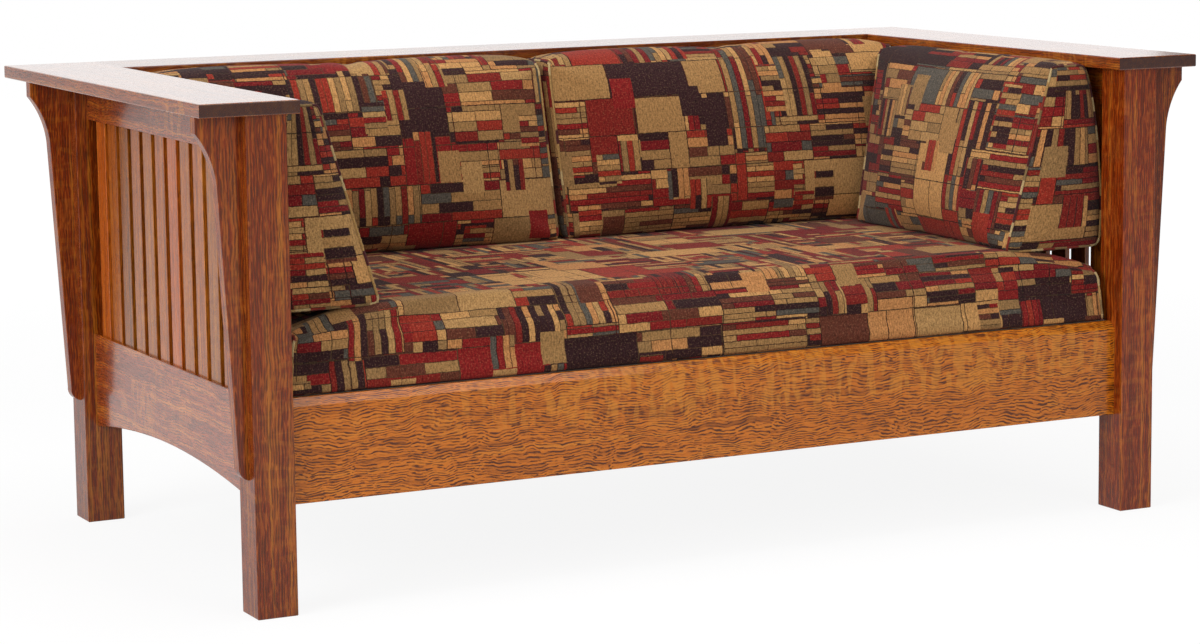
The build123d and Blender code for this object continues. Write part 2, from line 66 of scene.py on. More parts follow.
def srgb(text):
    """An sRGB hex colour as linear RGBA."""
    channels = [int(text[place:place + 2], 16) / 255 for place in (1, 3, 5)]
    return tuple(c / 12.92 if c <= 0.04045 else ((c + 0.055) / 1.055) ** 2.4 for c in channels) + (1.0,)


def add(tree, kind, inputs=None, stops=None, **settings):
    """One node with its settings, its ramp's stops, and its inputs set or linked.
    An input that is given as a node is linked to that node's first output."""
    made = tree.nodes.new(kind)
    for name, value in settings.items():
        setattr(made, name, value)
    if stops:
        elements = made.color_ramp.elements
        while len(elements) < len(stops):
            elements.new(1.0)
        for element, (place, colour) in zip(elements, stops):
            element.position = place
            element.color = colour
    for socket, value in (inputs or {}).items():
        if isinstance(value, bpy.types.Node):
            value = value.outputs[0]
        if isinstance(value, bpy.types.NodeSocket):
            tree.links.new(value, made.inputs[socket])
        else:
            made.inputs[socket].default_value = value
    return made


def new_material(name):
    """An empty node material and its tree."""
    material = bpy.data.materials.new(name)
    material.use_nodes = True
    material.node_tree.nodes.clear()
    return material, material.node_tree


def dress(node, material):
    """Gives a carried-over solid its finish."""
    body = frame["nodes"][node]
    body.data.materials.clear()
    body.data.materials.append(material)


# Sizes and colours that a user would change

class SettleWood(bpy.types.PropertyGroup):
    """The stain and the figure of the oak."""
    light: bpy.props.StringProperty(
        name="Light stain", description="Hex colour of the ray flecks", default="#CF8428")
    streak: bpy.props.StringProperty(
        name="Streak stain", description="Hex colour between the rows of pores", default="#B8601C")
    dark: bpy.props.StringProperty(
        name="Dark stain", description="Hex colour of the pores", default="#4A1E05")
    end: bpy.props.StringProperty(
        name="End stain", description="Hex colour of the end grain", default="#2E1006")
    pore_length: bpy.props.FloatProperty(
        name="Pore length", description="Length of the open pores", default=26 * MM, unit="LENGTH")
    pore_width: bpy.props.FloatProperty(
        name="Pore width", description="Width of the open pores, drawn coarse enough to show",
        default=2.0 * MM, unit="LENGTH")
    pore_pitch: bpy.props.FloatProperty(
        name="Pore pitch", description="Spacing of the rows of pores", default=4.4 * MM, unit="LENGTH")
    fleck_length: bpy.props.FloatProperty(
        name="Fleck length", description="Length of the ray flecks across the grain",
        default=42 * MM, unit="LENGTH")
    fleck_width: bpy.props.FloatProperty(
        name="Fleck width", description="Width of the ray flecks along the grain",
        default=12 * MM, unit="LENGTH")
    slat_pitch: bpy.props.FloatProperty(
        name="Slat pitch", description="Spacing of the back slats", default=57.5 * MM, unit="LENGTH")


class SettleCushions(bpy.types.PropertyGroup):
    """The cut of the cushions and the scale of their cloth."""
    spacing: bpy.props.FloatProperty(
        name="Net spacing", description="Spacing of the cover's points", default=10 * MM, unit="LENGTH")
    seam_radius: bpy.props.FloatProperty(
        name="Seam radius", description="Radius of the turned seam", default=2.1 * MM, unit="LENGTH")
    rib_pitch: bpy.props.FloatProperty(
        name="Rib pitch", description="Spacing of the chenille's ribs, drawn coarse enough to show",
        default=2.4 * MM, unit="LENGTH")
    outline_width: bpy.props.FloatProperty(
        name="Outline width", description="Half the width of the dark line round each block",
        default=0.8 * MM, unit="LENGTH")
    stitch_pitch: bpy.props.FloatProperty(
        name="Stitch pitch", description="Spacing of the stitches along a seam",
        default=9 * MM, unit="LENGTH")
    pressure: bpy.props.FloatProperty(
        name="Filling pressure", description="Pressure of the filling on the cover", default=4.0)


class SettleStage(bpy.types.PropertyGroup):
    """The camera's place and the light."""
    camera_place: bpy.props.FloatVectorProperty(
        name="Camera place", description="Where the camera stands",
        default=(-2.45844, -4.84016, 1.14160), subtype="TRANSLATION", unit="LENGTH")
    yaw: bpy.props.FloatProperty(
        name="Yaw", description="Turn of the camera to the right", default=0.46997, subtype="ANGLE")
    pitch: bpy.props.FloatProperty(
        name="Pitch", description="Tilt of the camera upwards", default=-0.1374, subtype="ANGLE")
    roll: bpy.props.FloatProperty(
        name="Roll", description="Roll of the camera", default=-0.01132, subtype="ANGLE")
    lens: bpy.props.FloatProperty(
        name="Lens", description="Focal length in millimetres on a 36 mm sensor", default=97.58)


def settings(name):
    """One of the settle's groups of settings."""
    return getattr(bpy.context.scene, name)


# Oak

AXES = ((1, 0, 0), (0, 1, 0), (0, 0, 1))
# The turns that lay each axis along X
TURNS = ((0, 0, 0), (0, 0, -math.pi / 2), (0, math.pi / 2, 0))
BOARD_SHIFT = 7.3
BAND_SIZE = (500 * MM, 8 * MM, 8 * MM)
CLOUD_SIZE = (220 * MM, 70 * MM, 70 * MM)
# The number in a metre
GRAIN_WAVES = 13.0


def board_tone(tree, place, row_start):
    """A random value for each board: for each slat of the back's row where the row's start is given."""
    board = add(tree, "ShaderNodeObjectInfo").outputs["Random"]
    if row_start is None:
        return board
    across = add(tree, "ShaderNodeSeparateXYZ", {0: place}).outputs["X"]
    count = add(tree, "ShaderNodeMath", {0: across, 1: row_start}, operation="SUBTRACT")
    count = add(tree, "ShaderNodeMath", {0: count, 1: settings("settle_wood").slat_pitch}, operation="DIVIDE")
    slat = add(tree, "ShaderNodeMath", {0: count}, operation="FLOOR")
    chance = add(tree, "ShaderNodeTexWhiteNoise", {"W": slat}, noise_dimensions="1D")
    return chance.outputs["Value"]


def grain_places(tree, here, along, tone, wander):
    """Places turned so that X runs along the grain, moved apart from board to board, and wavering."""
    shift = add(tree, "ShaderNodeMath", {0: tone, 1: BOARD_SHIFT}, operation="MULTIPLY")
    place = add(tree, "ShaderNodeVectorMath", {0: here, 1: shift})
    turned = add(tree, "ShaderNodeMapping", {"Vector": place, "Rotation": TURNS[along]})
    waver = add(tree, "ShaderNodeTexNoise", {"Vector": turned, "Scale": GRAIN_WAVES, "Detail": 3.0})
    drift = add(tree, "ShaderNodeVectorMath", {0: waver.outputs["Color"], 1: (0.5, 0.5, 0.5)},
                operation="SUBTRACT")
    drift = add(tree, "ShaderNodeVectorMath", {0: drift, 1: (8 * MM, wander, wander)}, operation="MULTIPLY")
    return add(tree, "ShaderNodeVectorMath", {0: turned, 1: drift})


def grain_figures(tree, grain):
    """The oak's figures: pores and bands along the grain, ray flecks across it, and wide clouds."""
    wood = settings("settle_wood")
    figures = {}
    for key, size, detail in (("pores", (wood.pore_length, wood.pore_width, wood.pore_width), 1.0),
                              ("bands", BAND_SIZE, 3.0),
                              ("flecks", (wood.fleck_width, wood.fleck_length, wood.fleck_length), 1.0),
                              ("clouds", CLOUD_SIZE, 2.0)):
        scale = tuple(1 / length for length in size)
        stretched = add(tree, "ShaderNodeVectorMath", {0: grain, 1: scale}, operation="MULTIPLY")
        figures[key] = add(tree, "ShaderNodeTexNoise",
                           {"Vector": stretched, "Scale": 1.0, "Detail": detail, "Distortion": 0.35})
    return figures


def ray_flecks(tree, here, figures, strength, heart):
    """How strong a ray fleck is at each place: in clouds over the board, or round its heart if it has one."""
    if heart:
        away = add(tree, "ShaderNodeVectorMath", {0: here, 1: heart[0]}, operation="SUBTRACT")
        away = add(tree, "ShaderNodeVectorMath", {0: away, 1: heart[1]}, operation="DIVIDE")
        away = add(tree, "ShaderNodeVectorMath", {0: away}, operation="LENGTH")
        where = add(tree, "ShaderNodeMapRange", {"Value": away.outputs["Value"], 1: 1.25, 2: 0.7})
    else:
        where = add(tree, "ShaderNodeMapRange", {"Value": figures["clouds"], 1: 0.46, 2: 0.60})
    ray = add(tree, "ShaderNodeMapRange", {"Value": figures["flecks"], 1: 0.48, 2: 0.60, 4: strength})
    return add(tree, "ShaderNodeMath", {0: ray, 1: where}, operation="MULTIPLY")


def open_pores(tree, grain, figures, fleck, depth):
    """How dark the pores are at each place: in rows along the grain, and closed where a fleck lies."""
    pitch = settings("settle_wood").pore_pitch
    across = add(tree, "ShaderNodeSeparateXYZ", {0: grain}).outputs
    row = add(tree, "ShaderNodeMath", {0: across["Y"], 1: across["Z"]}, operation="ADD")
    row = add(tree, "ShaderNodeMath", {0: row, 1: 2 * math.pi / pitch}, operation="MULTIPLY")
    row = add(tree, "ShaderNodeMath", {0: row}, operation="SINE")
    row = add(tree, "ShaderNodeMath", {0: row, 1: 0.13, 2: figures["pores"]}, operation="MULTIPLY_ADD")
    pore = add(tree, "ShaderNodeMapRange", {"Value": row, 1: 0.48, 2: 0.66, 4: depth})
    closed = add(tree, "ShaderNodeMath", {0: fleck, 1: -0.8, 2: 1.0}, operation="MULTIPLY_ADD")
    return add(tree, "ShaderNodeMath", {0: pore, 1: closed}, operation="MULTIPLY")


def end_grain(tree, normal, along):
    """How much of the end stain a face takes: most of it where the board is cut across."""
    facing = add(tree, "ShaderNodeVectorMath", {0: normal, 1: AXES[along]}, operation="DOT_PRODUCT")
    facing = add(tree, "ShaderNodeMath", {0: facing.outputs["Value"]}, operation="ABSOLUTE")
    return add(tree, "ShaderNodeMapRange", {"Value": facing, 1: 0.8, 2: 0.95, 4: 0.88})


def oak(name, along, shade, flecks, spread=0.1, pore_depth=0.55, streaks=0.15, wander=30 * MM, coat=0.4,
        heart=None, row_start=None):
    """Quarter-sawn white oak, stained reddish brown under a rubbed lacquer.
    It shows rows of short dark pores along the grain, bright ray flecks across it, and a deep clear gloss.
    Spread is how far the boards' tones differ, wander how far the grain wavers, heart the middle and the size
    of a figured patch, and row_start where the back's row of slats begins."""
    wood = settings("settle_wood")
    material, tree = new_material(name)
    coordinates = add(tree, "ShaderNodeTexCoord")
    here = coordinates.outputs["Object"]
    tone = board_tone(tree, here, row_start)
    grain = grain_places(tree, here, along, tone, wander)
    figures = grain_figures(tree, grain)
    fleck = ray_flecks(tree, here, figures, flecks, heart)
    pore = open_pores(tree, grain, figures, fleck, pore_depth)
    streak = add(tree, "ShaderNodeMapRange", {"Value": figures["pores"], 1: 0.45, 2: 0.34, 4: streaks})
    colour = add(tree, "ShaderNodeValToRGB", {0: figures["bands"]},
                 stops=((0.3, srgb(wood.dark)), (0.5, srgb(shade)), (0.75, srgb(wood.light))))
    for strength, stain in ((0.45, shade), (streak, wood.streak), (fleck, wood.light), (pore, wood.dark)):
        colour = add(tree, "ShaderNodeMix", {0: strength, 6: colour, 7: srgb(stain)},
                     data_type="RGBA").outputs[2]
    # The lighter a board is, the redder
    level = add(tree, "ShaderNodeMapRange", {"Value": tone, 3: 1 - spread, 4: 1 + spread})
    hue = add(tree, "ShaderNodeMapRange", {"Value": tone, 3: 0.5 + spread / 44, 4: 0.5 - spread / 38})
    toned = add(tree, "ShaderNodeHueSaturation", {"Color": colour, "Hue": hue, "Value": level})
    ended = add(tree, "ShaderNodeMix", {0: end_grain(tree, coordinates.outputs["Normal"], along),
                                        6: toned, 7: srgb(wood.end)}, data_type="RGBA")

    bump = add(tree, "ShaderNodeBump", {"Strength": 0.08, "Distance": 0.2 * MM, "Height": figures["pores"]},
               invert=True)
    rough = add(tree, "ShaderNodeMapRange", {"Value": figures["pores"], 3: 0.17, 4: 0.34})
    surface = add(tree, "ShaderNodeBsdfPrincipled",
                  {"Base Color": ended.outputs[2], "Roughness": rough, "Normal": bump,
                   "IOR": 1.5, "Specular IOR Level": 0.32, "Coat Weight": coat, "Coat Roughness": 0.12})
    add(tree, "ShaderNodeOutputMaterial", {0: surface})
    return material


class SETTLE_OT_finish_woodwork(bpy.types.Operator):
    """Stain the posts, rails, caps, corbels and slats"""
    bl_idname = "settle.finish_woodwork"
    bl_label = "Finish the woodwork"

    def execute(self, context):
        upright = oak("oak_upright", Z, "#7E2B06", flecks=0.12, pore_depth=0.75, streaks=0.42,
                      wander=9 * MM, coat=0.15)
        slat = oak("oak_slat", Z, "#A65412", flecks=0.15, spread=0.3, pore_depth=0.6, wander=9 * MM,
                   coat=0.3)
        back_slat = oak("oak_back_slat", Z, "#8E4410", flecks=0.15, spread=0.3, pore_depth=0.6,
                        wander=9 * MM, row_start=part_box("back_slats")[0].x)
        # The back rails and back cap take a stain darker than the wood's own: painted shade for the back
        # cap's front edge.
        across = oak("oak_across", X, "#6E2E0E", flecks=0.3, spread=0.04, coat=0.6)
        low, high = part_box("front_rail")
        figured = oak("oak_front_rail", X, "#C86C12", flecks=0.55, spread=0.04, pore_depth=0.95, coat=0.12,
                      heart=((high.x * 0.25, low.y, high.z - 36 * MM), (0.75, 1.0, 56 * MM)))
        # The side rails and arm caps take a stain darker than the wood's own: painted shade for the arm caps'
        # inner edges over the cushions. Their strong coat keeps the rendered sheen on the lit faces.
        deep = oak("oak_deep", Y, "#8C3C0E", flecks=0.3, pore_depth=0.7, wander=14 * MM, coat=0.7)
        finishes = {"front_rail": figured, "back_lower_rail": across, "back_upper_rail": across,
                    "back_cap": across, "back_slats": back_slat}
        for node in frame["nodes"]:
            if node in finishes:
                dress(node, finishes[node])
            elif "post" in node or "corbel" in node:
                dress(node, upright)
            elif "slat" in node:
                dress(node, slat)
            elif node.endswith(("_rail", "_arm_cap")):
                dress(node, deep)
        return {"FINISHED"}


# Seat deck

# The number in a metre, drawn coarse enough to show
SAWN_STREAKS = (6, 120, 120)
SCRATCHES = 900.0
FIBRES = 420.0


def sawn_wood(name):
    """Unfinished kiln-dried maple, planed: pale, dry and faintly streaked."""
    material, tree = new_material(name)
    here = add(tree, "ShaderNodeTexCoord").outputs["Object"]
    stretched = add(tree, "ShaderNodeVectorMath", {0: here, 1: SAWN_STREAKS}, operation="MULTIPLY")
    streaks = add(tree, "ShaderNodeTexNoise", {"Vector": stretched, "Scale": 1.0, "Detail": 4.0})
    colour = add(tree, "ShaderNodeValToRGB", {0: streaks},
                 stops=((0.3, srgb("#A98457")), (0.7, srgb("#D0B084"))))
    bump = add(tree, "ShaderNodeBump", {"Strength": 0.2, "Distance": 0.3 * MM, "Height": streaks})
    surface = add(tree, "ShaderNodeBsdfPrincipled", {"Base Color": colour, "Roughness": 0.7, "Normal": bump})
    add(tree, "ShaderNodeOutputMaterial", {0: surface})
    return material


def drawn_steel(name, colour, roughness):
    """Steel drawn to wire or stamped: grey, with fine scratches that spread its shine."""
    material, tree = new_material(name)
    here = add(tree, "ShaderNodeTexCoord").outputs["Object"]
    scratches = add(tree, "ShaderNodeTexNoise", {"Vector": here, "Scale": SCRATCHES, "Detail": 3.0})
    rough = add(tree, "ShaderNodeMapRange", {"Value": scratches, 3: roughness - 0.08, 4: roughness + 0.1})
    tint = add(tree, "ShaderNodeMix", {0: scratches, 6: srgb(colour), 7: srgb("#8C8E90")}, data_type="RGBA")
    surface = add(tree, "ShaderNodeBsdfPrincipled",
                  {"Base Color": tint.outputs[2], "Metallic": 1.0, "Roughness": rough})
    add(tree, "ShaderNodeOutputMaterial", {0: surface})
    return material


def pressed_felt(name):
    """Needled fibre felt: dark, matt and speckled with pale fibres."""
    material, tree = new_material(name)
    here = add(tree, "ShaderNodeTexCoord").outputs["Object"]
    fibres = add(tree, "ShaderNodeTexNoise",
                 {"Vector": here, "Scale": FIBRES, "Detail": 5.0, "Distortion": 1.5})
    colour = add(tree, "ShaderNodeValToRGB", {0: fibres},
                 stops=((0.35, srgb("#1E1B1A")), (0.62, srgb("#3A3431")), (0.72, srgb("#7A726A"))))
    bump = add(tree, "ShaderNodeBump", {"Strength": 0.5, "Distance": 0.6 * MM, "Height": fibres})
    surface = add(tree, "ShaderNodeBsdfPrincipled",
                  {"Base Color": colour, "Roughness": 0.95, "Normal": bump, "Sheen Weight": 0.3})
    add(tree, "ShaderNodeOutputMaterial", {0: surface})
    return material


class SETTLE_OT_finish_seat_deck(bpy.types.Operator):
    """Finish the strips, springs, clips, screws, dowels and pad under the seat cushion"""
    bl_idname = "settle.finish_seat_deck"
    bl_label = "Finish the seat deck"

    def execute(self, context):
        maple = sawn_wood("sawn_maple")
        for node in ("front_spring_strip", "rear_spring_strip", "left_seat_cleat", "right_seat_cleat",
                     "seat_brace", "dowels"):
            dress(node, maple)
        dress("seat_springs", drawn_steel("drawn_spring_wire", "#4A4C4E", 0.42))
        plated = drawn_steel("plated_steel", "#B4B2A8", 0.34)
        dress("spring_clips", plated)
        dress("screws", plated)
        dress("deck_pad", pressed_felt("pressed_felt"))
        return {"FINISHED"}


# Upholstery cloth

CLOTH_COLOURS = ("#B27A48", "#8C6A42", "#A8804F", "#8E2A1D", "#504A42", "#9C7446", "#6E1417", "#2E1618",
                 "#761E18", "#957044", "#5C2E20", "#B88852", "#7E1A19", "#331A1C")
# Width and height in centimetres, whether they lie turned, and the share of the cloth that they cover
BLOCKS = ((17.0, 13.0, 0, 1.0), (13.0, 9.0, 1, 0.6), (9.5, 6.5, 0, 0.45), (5.5, 4.2, 1, 0.2))
# The strips inside a block: width and height in centimetres, and whether they lie turned
FILLS = ((9.6, 0.95, 0), (12.5, 1.1, 1), (6.4, 1.7, 0))
FILL_SEED = 11.0
BLOCK_SEED = 31.0
# The number in a metre of cloth, drawn coarse enough to show
TREMBLES = 160.0
SLUBS = (420.0, 110.0, 1.0)
SPECKLES = 330.0
THREADS = 700.0
WELT_DASH = 24 * MM


def bricks(tree, place, width, height, turned, seed, line):
    """Blocks of one size in staggered rows, in centimetres, each with three random values."""
    lay = add(tree, "ShaderNodeMapping", {"Vector": place, "Rotation": (0, 0, turned * math.pi / 2),
                                          "Location": (seed * 0.37, seed * 0.53, 0)})
    wall = add(tree, "ShaderNodeTexBrick",
               {"Vector": lay, "Color1": (0, 0, 0, 1), "Color2": (1, 1, 1, 1),
                "Mortar": (0, 0, 0, 1), "Scale": 1 / CM, "Mortar Size": line, "Mortar Smooth": 0.0,
                "Brick Width": width, "Row Height": height},
               offset=0.37, offset_frequency=2, squash=1.6, squash_frequency=3)
    spun = add(tree, "ShaderNodeMath", {0: wall.outputs["Color"], 1: 91.7, 2: seed}, operation="MULTIPLY_ADD")
    chance = add(tree, "ShaderNodeTexWhiteNoise", {"W": spun}, noise_dimensions="1D")
    parts = add(tree, "ShaderNodeSeparateColor", {0: chance.outputs["Color"]})
    return parts.outputs, wall.outputs["Fac"]


def patchwork(tree, place, line):
    """Two values over the cloth: one that picks the colour, and one that is 1 on the dark outlines."""
    fills = [bricks(tree, place, width, height, turned, FILL_SEED + index, line * 0.7)
             for index, (width, height, turned) in enumerate(FILLS)]
    colour, outline = 0.0, 0.0
    for index, (width, height, turned, share) in enumerate(BLOCKS):
        chance, edge = bricks(tree, place, width, height, turned, BLOCK_SEED + index, line)
        block_colour, block_outline = chance[0], edge
        for number, (fill_chance, fill_edge) in enumerate(fills):
            chosen = add(tree, "ShaderNodeMath", {0: chance[1], 1: 0.26 + 0.25 * number},
                         operation="GREATER_THAN")
            strips = add(tree, "ShaderNodeMath", {0: fill_chance[0], 1: 0.62, 2: chance[0]},
                         operation="MULTIPLY_ADD")
            both = add(tree, "ShaderNodeMath", {0: edge, 1: fill_edge}, operation="MAXIMUM")
            block_colour = add(tree, "ShaderNodeMix", {0: chosen, 2: block_colour, 3: strips})
            block_outline = add(tree, "ShaderNodeMix", {0: chosen, 2: block_outline, 3: both})
        shown = add(tree, "ShaderNodeMath", {0: chance[2], 1: share}, operation="LESS_THAN")
        colour = add(tree, "ShaderNodeMix", {0: shown, 2: colour, 3: block_colour})
        outline = add(tree, "ShaderNodeMix", {0: shown, 2: outline, 3: block_outline})
    return add(tree, "ShaderNodeMath", {0: colour}, operation="FRACT"), outline


def chenille(name):
    """Ribbed cotton chenille in a patchwork of earth colours, each block outlined in dark yarn.
    Its pile is matt and soft, and slubs of paler and darker yarn speckle every block."""
    cushions = settings("settle_cushions")
    material, tree = new_material(name)
    place = add(tree, "ShaderNodeUVMap")
    tremble = add(tree, "ShaderNodeTexNoise", {"Vector": place, "Scale": TREMBLES, "Detail": 1.0})
    tremble = add(tree, "ShaderNodeVectorMath", {0: tremble.outputs["Color"], 1: (0.5, 0.5, 0.5)},
                  operation="SUBTRACT")
    tremble = add(tree, "ShaderNodeVectorMath", {0: tremble, 3: 2.2 * MM}, operation="SCALE")
    woven = add(tree, "ShaderNodeVectorMath", {0: place, 1: tremble})
    pick, line = patchwork(tree, woven, cushions.outline_width / CM)
    step = 1 / len(CLOTH_COLOURS)
    colour = add(tree, "ShaderNodeValToRGB", {0: pick},
                 stops=[(index * step, srgb(tint)) for index, tint in enumerate(CLOTH_COLOURS)])
    colour.color_ramp.interpolation = "CONSTANT"

    slub_scale = add(tree, "ShaderNodeVectorMath", {0: place, 1: SLUBS}, operation="MULTIPLY")
    slubs = add(tree, "ShaderNodeTexNoise",
                {"Vector": slub_scale, "Scale": 1.0, "Detail": 3.0, "Roughness": 0.7})
    speckle = add(tree, "ShaderNodeTexNoise",
                  {"Vector": place, "Scale": SPECKLES, "Detail": 3.0, "Roughness": 0.7})
    heather = add(tree, "ShaderNodeMath", {0: slubs, 1: speckle})
    value = add(tree, "ShaderNodeMapRange", {"Value": heather, 1: 0.72, 2: 1.28, 3: 0.42, 4: 1.62})
    heathered = add(tree, "ShaderNodeHueSaturation", {"Color": colour, "Value": value})
    warp = add(tree, "ShaderNodeMapRange", {"Value": speckle, 1: 0.56, 2: 0.66, 4: 0.32})
    warped = add(tree, "ShaderNodeMix", {0: warp, 6: heathered, 7: srgb("#9A7C54")}, data_type="RGBA")
    drawn = add(tree, "ShaderNodeMath", {0: line, 1: 0.85}, operation="MULTIPLY")
    outlined = add(tree, "ShaderNodeMix", {0: drawn, 6: warped.outputs[2], 7: srgb("#1C110D")},
                   data_type="RGBA")

    ribs = add(tree, "ShaderNodeTexWave", {"Vector": place, "Scale": math.pi / 10 / cushions.rib_pitch,
                                           "Distortion": 1.5, "Detail": 2.0, "Detail Scale": 3.0},
               wave_type="BANDS", bands_direction="X")
    height = add(tree, "ShaderNodeMath", {0: ribs.outputs["Fac"], 1: 0.5, 2: heather},
                 operation="MULTIPLY_ADD")
    cut = add(tree, "ShaderNodeMath", {0: line, 1: -1.0, 2: height}, operation="MULTIPLY_ADD")
    bump = add(tree, "ShaderNodeBump", {"Strength": 0.8, "Distance": 1.2 * MM, "Height": cut})
    surface = add(tree, "ShaderNodeBsdfPrincipled",
                  {"Base Color": outlined.outputs[2], "Roughness": 0.95, "Specular IOR Level": 0.15,
                   "Sheen Weight": 0.06, "Sheen Roughness": 0.45, "Normal": bump})
    add(tree, "ShaderNodeOutputMaterial", {0: surface})
    return material


def welt_cloth(name):
    """The same cloth folded over along a seam: cream backing yarn with short dashes of colour."""
    material, tree = new_material(name)
    along = add(tree, "ShaderNodeAttribute", attribute_name="along").outputs["Fac"]
    dash = add(tree, "ShaderNodeMath", {0: along, 1: WELT_DASH}, operation="DIVIDE")
    dash = add(tree, "ShaderNodeMath", {0: dash}, operation="FLOOR")
    pick = add(tree, "ShaderNodeTexWhiteNoise", {"W": dash}, noise_dimensions="1D")
    colour = add(tree, "ShaderNodeValToRGB", {0: pick.outputs["Value"]},
                 stops=((0.0, srgb("#B49A6C")), (0.22, srgb("#A07C4A")), (0.42, srgb("#7E6440")),
                        (0.56, srgb("#7A2A20")), (0.76, srgb("#4A2020"))))
    colour.color_ramp.interpolation = "CONSTANT"
    here = add(tree, "ShaderNodeTexCoord").outputs["Object"]
    threads = add(tree, "ShaderNodeTexNoise", {"Vector": here, "Scale": THREADS, "Detail": 2.0})
    value = add(tree, "ShaderNodeMapRange", {"Value": threads, 1: 0.3, 2: 0.7, 3: 0.6, 4: 1.3})
    spun = add(tree, "ShaderNodeHueSaturation", {"Color": colour, "Value": value})
    bump = add(tree, "ShaderNodeBump", {"Strength": 0.6, "Distance": 0.8 * MM, "Height": threads})
    surface = add(tree, "ShaderNodeBsdfPrincipled",
                  {"Base Color": spun, "Roughness": 0.95, "Specular IOR Level": 0.15, "Sheen Weight": 0.12,
                   "Normal": bump})
    add(tree, "ShaderNodeOutputMaterial", {0: surface})
    return material


# Cushions

FILL_REACH = 22 * MM
FILL_FRAMES = 20
DOME_POWER = 2.6
END_PANEL_SHIFT = 0.41
PRESS_REACH = 60 * MM
CUSHION_GAP = 0.4 * MM
CAP_GAP = 0.3 * MM
CAP_MARGIN = 4 * MM
SEAM_STEP = 6 * MM
THREAD_RADIUS = 0.45 * MM
STITCH_LENGTH = 4.2 * MM
SEAM_SEED = 7
TINY = 1e-9
CLOTH_SETTINGS = {"quality": 5, "mass": 0.3, "tension_stiffness": 12, "compression_stiffness": 12,
                  "shear_stiffness": 4, "bending_stiffness": 0.4, "pin_stiffness": 0.6, "use_pressure": True}


class Block:
    """A cushion's boxed cover: a lattice over a box, bent to its eight corners, with rounded edges.
    Wrap is the axis from one sewn end panel to the other, and front is the axis and side that is sat against.
    Each crown gives a face's axis and side, how far it swells, and, if only one, the axis it fades along."""

    def __init__(self, name, corners, wrap, front, radii, crowns, shift):
        self.name, self.wrap, self.radii, self.crowns, self.shift = name, wrap, radii, crowns, shift
        self.front_axis, self.front_side = front
        self.corners = np.array(corners)
        across = self.corners.reshape(2, 2, 2, 3)
        self.size = [np.linalg.norm(np.diff(across, axis=axis), axis=-1).mean() for axis in range(3)]
        spacing = settings("settle_cushions").spacing
        self.counts = [max(4, int(round(length / spacing))) for length in self.size]
        self.points = {}
        self.quads = [(quad, axis, side) for axis in range(3) for side in (0, 1)
                      for quad in self.panel(axis, side)]
        self.unit = np.array([[2 * key[k] / self.counts[k] - 1 for k in range(3)] for key in self.points])

    def point(self, axis, side, u, v):
        """The number of a panel's point, the same for every panel that meets there."""
        key = [0, 0, 0]
        key[axis] = side * self.counts[axis]
        key[(axis + 1) % 3], key[(axis + 2) % 3] = u, v
        return self.points.setdefault(tuple(key), len(self.points))

    def panel(self, axis, side):
        """One panel's quads, facing outwards."""
        quads = []
        for u in range(self.counts[(axis + 1) % 3]):
            for v in range(self.counts[(axis + 2) % 3]):
                corners = ((u, v), (u + 1, v), (u + 1, v + 1), (u, v + 1))
                quad = [self.point(axis, side, *corner) for corner in corners]
                quads.append(quad if side else quad[::-1])
        return quads

    def seam(self, side):
        """The numbers of the points round one end panel, in order."""
        wide, tall = self.counts[(self.wrap + 1) % 3], self.counts[(self.wrap + 2) % 3]
        ring = ([(u, 0) for u in range(wide)] + [(wide, v) for v in range(tall)]
                + [(wide - u, tall) for u in range(wide)] + [(0, tall - v) for v in range(tall)])
        return [self.point(self.wrap, side, *corner) for corner in ring]

    def shaped(self, unit):
        """Rounds the box's edges, bends it to its corners and swells its faces."""
        half = np.array(self.size) / 2
        top, bottom = self.radii
        radius = bottom + (top - bottom) * (unit[:, Z:] + 1) / 2
        core = np.clip(unit * half, radius - half, half - radius)
        reach = unit * half - core
        length = np.maximum(np.linalg.norm(reach, axis=1, keepdims=True), TINY)
        bent = (core + reach / length * radius) / half
        weight = (bent + 1) / 2
        place = np.zeros_like(bent)
        for number, corner in enumerate(self.corners):
            picks = [(number >> 2) & 1, (number >> 1) & 1, number & 1]
            shares = [weight[:, k] if pick else 1 - weight[:, k] for k, pick in enumerate(picks)]
            place += np.prod(shares, axis=0)[:, None] * corner
        for axis, side, amount, *across in self.crowns:
            others = across or [k for k in range(3) if k != axis]
            dome = np.prod([1 - np.abs(unit[:, k]) ** DOME_POWER for k in others], axis=0)
            facing = np.clip((side * unit[:, axis] + 1) / 2, 0, 1)
            place[:, axis] += side * amount * dome * facing
        return place

    def texture_places(self, unit, axis, side):
        """Where a panel's points lie on the cloth it was cut from, in metres."""
        run = (unit + 1) / 2 * np.array(self.size)
        if axis == self.wrap:
            return np.stack([run[:, self.front_axis], run[:, Z]], axis=1) + self.shift + END_PANEL_SHIFT
        depth = run[:, self.front_axis]
        deep = self.size[self.front_axis]
        if self.front_side > 0:
            depth = deep - depth
        tall = self.size[Z]
        if axis == Z:
            along = tall + depth if side else -depth
        else:
            is_front = (side == 1) == (self.front_side > 0)
            along = run[:, Z] if is_front else tall + deep + (tall - run[:, Z])
        return np.stack([run[:, self.wrap], along], axis=1) + self.shift


